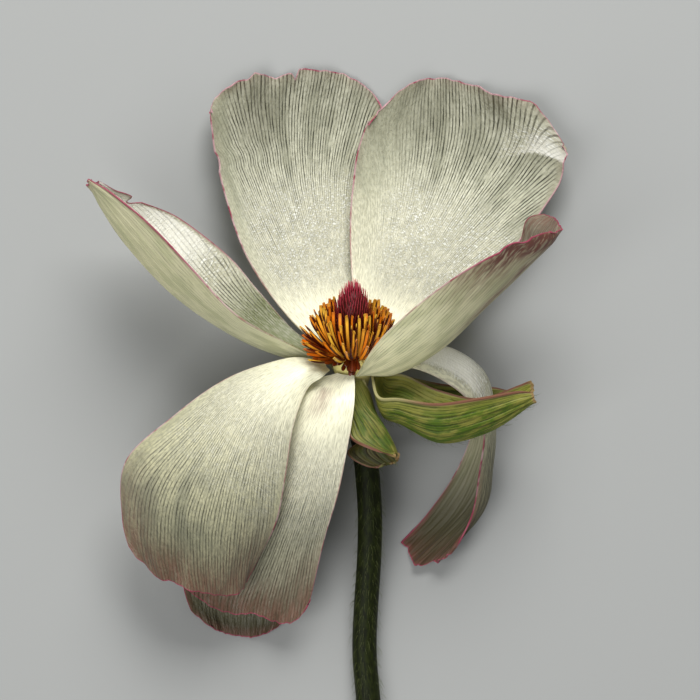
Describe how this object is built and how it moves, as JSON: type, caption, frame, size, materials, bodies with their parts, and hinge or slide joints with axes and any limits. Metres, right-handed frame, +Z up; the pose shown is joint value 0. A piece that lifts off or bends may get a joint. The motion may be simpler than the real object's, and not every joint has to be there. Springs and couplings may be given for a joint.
{
  "type": "ranunculus flower",
  "caption": "Picked ranunculus bloom lying on its side: broad cream petals, some drooping, with green boat-shaped sepals, a brush of stamens, a carpel cone and a bent cut stem.",
  "frame": {"origin": "centre of the flower's overall box, on the surface that it lies on", "axes": "+Y runs from the cut end of the stem to the top of the bloom, +Z is up from the surface, +X is to the right for someone looking down with the stem towards them"},
  "size_m": [0.0825, 0.1474, 0.0351],
  "materials": {
    "petal": "cream, satin, slightly translucent, with fine grey-green veins and a thin rose margin",
    "sepal": "matt green with paler ribs and a brown-pink rim",
    "stem": "dark olive green, covered in fine hairs",
    "stamen": "satin orange with dark red-brown sides",
    "carpel": "dark maroon with crimson beaks"
  },
  "bodies": {
    "root": {"petal_hind_left": "petal", "petal_hind_right": "petal", "petal_left": "petal", "petal_front_right": "petal", "petal_low_outer": "petal", "petal_low_middle": "petal", "petal_low_inner": "petal", "petal_curled": "petal", "sepal_right": "sepal", "sepal_hind_right": "sepal", "sepal_front": "sepal", "sepal_left": "sepal", "sepal_hind_left": "sepal", "stem": "stem", "stamens": "stamen", "carpels": "carpel"}
  },
  "joints": []
}
